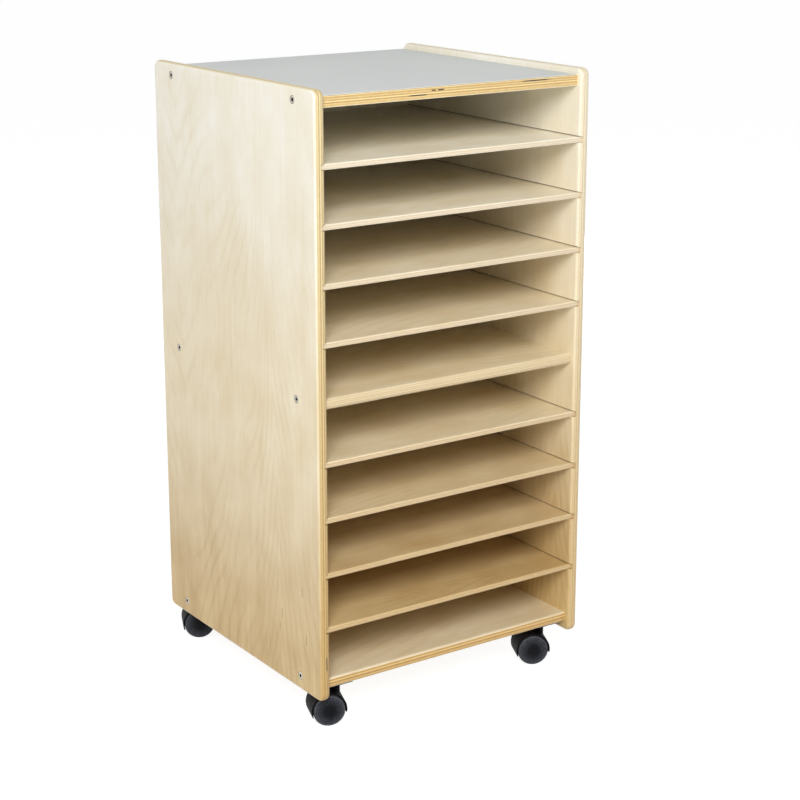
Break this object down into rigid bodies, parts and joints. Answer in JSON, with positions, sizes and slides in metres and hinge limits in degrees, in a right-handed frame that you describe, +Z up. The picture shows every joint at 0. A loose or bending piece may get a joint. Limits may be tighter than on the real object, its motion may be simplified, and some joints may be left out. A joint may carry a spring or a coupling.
{
  "type": "mobile shelf cabinet",
  "caption": "Tall open-fronted cabinet on swivelling twin-wheel casters, with thin loose shelves that slide in side grooves above and below a fixed middle shelf.",
  "frame": {"origin": "on the floor, under the middle of the cabinet's footprint", "axes": "+Z up, +X to the right seen from the front, open front towards -Y"},
  "size_m": [0.45, 0.438, 0.8855],
  "materials": {
    "side_ply": "clear satin varnish on birch plywood, grain upright",
    "deck_ply": "clear satin varnish on birch plywood",
    "shelf_ply": "clear satin varnish on thin birch plywood, grain across",
    "back_ply": "clear satin varnish on thin plywood",
    "beech": "raw",
    "laminate": "pale grey satin laminate",
    "screw_steel": "zinc plated",
    "plate_steel": "black",
    "axle_steel": "bright",
    "hood_plastic": "satin black",
    "wheel_plastic": "satin black"
  },
  "bodies": {
    "cabinet": {"left_side": "side_ply", "left_joint_screws": "screw_steel", "left_dowels": "beech", "right_side": "side_ply", "right_joint_screws": "screw_steel", "right_dowels": "beech", "top_panel": "deck_ply", "top_laminate": "laminate", "middle_shelf": "deck_ply", "bottom_panel": "deck_ply", "back_panel": "back_ply", "front_left_plate": "plate_steel", "front_left_plate_screws": "plate_steel", "front_left_stem": "plate_steel", "front_right_plate": "plate_steel", "front_right_plate_screws": "plate_steel", "front_right_stem": "plate_steel", "back_left_plate": "plate_steel", "back_left_plate_screws": "plate_steel", "back_left_stem": "plate_steel", "back_right_plate": "plate_steel", "back_right_plate_screws": "plate_steel", "back_right_stem": "plate_steel"},
    "thin_shelf_1": {"thin_shelf_1": "shelf_ply"},
    "thin_shelf_2": {"thin_shelf_2": "shelf_ply"},
    "thin_shelf_3": {"thin_shelf_3": "shelf_ply"},
    "thin_shelf_4": {"thin_shelf_4": "shelf_ply"},
    "thin_shelf_5": {"thin_shelf_5": "shelf_ply"},
    "thin_shelf_6": {"thin_shelf_6": "shelf_ply"},
    "thin_shelf_7": {"thin_shelf_7": "shelf_ply"},
    "thin_shelf_8": {"thin_shelf_8": "shelf_ply"},
    "front_left_caster": {"front_left_housing": "hood_plastic", "front_left_axle": "axle_steel"},
    "front_left_outer_wheel": {"front_left_outer_wheel": "wheel_plastic"},
    "front_left_inner_wheel": {"front_left_inner_wheel": "wheel_plastic"},
    "front_right_caster": {"front_right_housing": "hood_plastic", "front_right_axle": "axle_steel"},
    "front_right_outer_wheel": {"front_right_outer_wheel": "wheel_plastic"},
    "front_right_inner_wheel": {"front_right_inner_wheel": "wheel_plastic"},
    "back_left_caster": {"back_left_housing": "hood_plastic", "back_left_axle": "axle_steel"},
    "back_left_outer_wheel": {"back_left_outer_wheel": "wheel_plastic"},
    "back_left_inner_wheel": {"back_left_inner_wheel": "wheel_plastic"},
    "back_right_caster": {"back_right_housing": "hood_plastic", "back_right_axle": "axle_steel"},
    "back_right_outer_wheel": {"back_right_outer_wheel": "wheel_plastic"},
    "back_right_inner_wheel": {"back_right_inner_wheel": "wheel_plastic"}
  },
  "joints": [
    {"name": "thin_shelf_1_slide", "type": "slide", "parent": "cabinet", "child": "thin_shelf_1", "axis": [0, -1, 0], "range_m": [0, 0.3]},
    {"name": "thin_shelf_2_slide", "type": "slide", "parent": "cabinet", "child": "thin_shelf_2", "axis": [0, -1, 0], "range_m": [0, 0.3]},
    {"name": "thin_shelf_3_slide", "type": "slide", "parent": "cabinet", "child": "thin_shelf_3", "axis": [0, -1, 0], "range_m": [0, 0.3]},
    {"name": "thin_shelf_4_slide", "type": "slide", "parent": "cabinet", "child": "thin_shelf_4", "axis": [0, -1, 0], "range_m": [0, 0.3]},
    {"name": "thin_shelf_5_slide", "type": "slide", "parent": "cabinet", "child": "thin_shelf_5", "axis": [0, -1, 0], "range_m": [0, 0.3]},
    {"name": "thin_shelf_6_slide", "type": "slide", "parent": "cabinet", "child": "thin_shelf_6", "axis": [0, -1, 0], "range_m": [0, 0.3]},
    {"name": "thin_shelf_7_slide", "type": "slide", "parent": "cabinet", "child": "thin_shelf_7", "axis": [0, -1, 0], "range_m": [0, 0.3]},
    {"name": "thin_shelf_8_slide", "type": "slide", "parent": "cabinet", "child": "thin_shelf_8", "axis": [0, -1, 0], "range_m": [0, 0.3]},
    {"name": "front_left_swivel", "type": "hinge", "parent": "cabinet", "child": "front_left_caster", "pos_m": [-0.181, -0.185, 0.048], "axis": [0, 0, 1], "continuous": true},
    {"name": "front_left_outer_wheel_spin", "type": "hinge", "parent": "front_left_caster", "child": "front_left_outer_wheel", "pos_m": [-0.19325, -0.18066, 0.023], "axis": [0.3338, 0.9426, 0], "continuous": true},
    {"name": "front_left_inner_wheel_spin", "type": "hinge", "parent": "front_left_caster", "child": "front_left_inner_wheel", "pos_m": [-0.19325, -0.18066, 0.023], "axis": [0.3338, 0.9426, 0], "continuous": true},
    {"name": "front_right_swivel", "type": "hinge", "parent": "cabinet", "child": "front_right_caster", "pos_m": [0.181, -0.185, 0.048], "axis": [0, 0, 1], "continuous": true},
    {"name": "front_right_outer_wheel_spin", "type": "hinge", "parent": "front_right_caster", "child": "front_right_outer_wheel", "pos_m": [0.16922, -0.17951, 0.023], "axis": [0.4226, 0.9063, 0], "continuous": true},
    {"name": "front_right_inner_wheel_spin", "type": "hinge", "parent": "front_right_caster", "child": "front_right_inner_wheel", "pos_m": [0.16922, -0.17951, 0.023], "axis": [0.4226, 0.9063, 0], "continuous": true},
    {"name": "back_left_swivel", "type": "hinge", "parent": "cabinet", "child": "back_left_caster", "pos_m": [-0.181, 0.185, 0.048], "axis": [0, 0, 1], "continuous": true},
    {"name": "back_left_outer_wheel_spin", "type": "hinge", "parent": "back_left_caster", "child": "back_left_outer_wheel", "pos_m": [-0.19288, 0.19029, 0.023], "axis": [0.4067, 0.9135, 0], "continuous": true},
    {"name": "back_left_inner_wheel_spin", "type": "hinge", "parent": "back_left_caster", "child": "back_left_inner_wheel", "pos_m": [-0.19288, 0.19029, 0.023], "axis": [0.4067, 0.9135, 0], "continuous": true},
    {"name": "back_right_swivel", "type": "hinge", "parent": "cabinet", "child": "back_right_caster", "pos_m": [0.181, 0.185, 0.048], "axis": [0, 0, 1], "continuous": true},
    {"name": "back_right_outer_wheel_spin", "type": "hinge", "parent": "back_right_caster", "child": "back_right_outer_wheel", "pos_m": [0.16895, 0.18987, 0.023], "axis": [0.3746, 0.9272, 0], "continuous": true},
    {"name": "back_right_inner_wheel_spin", "type": "hinge", "parent": "back_right_caster", "child": "back_right_inner_wheel", "pos_m": [0.16895, 0.18987, 0.023], "axis": [0.3746, 0.9272, 0], "continuous": true}
  ]
}
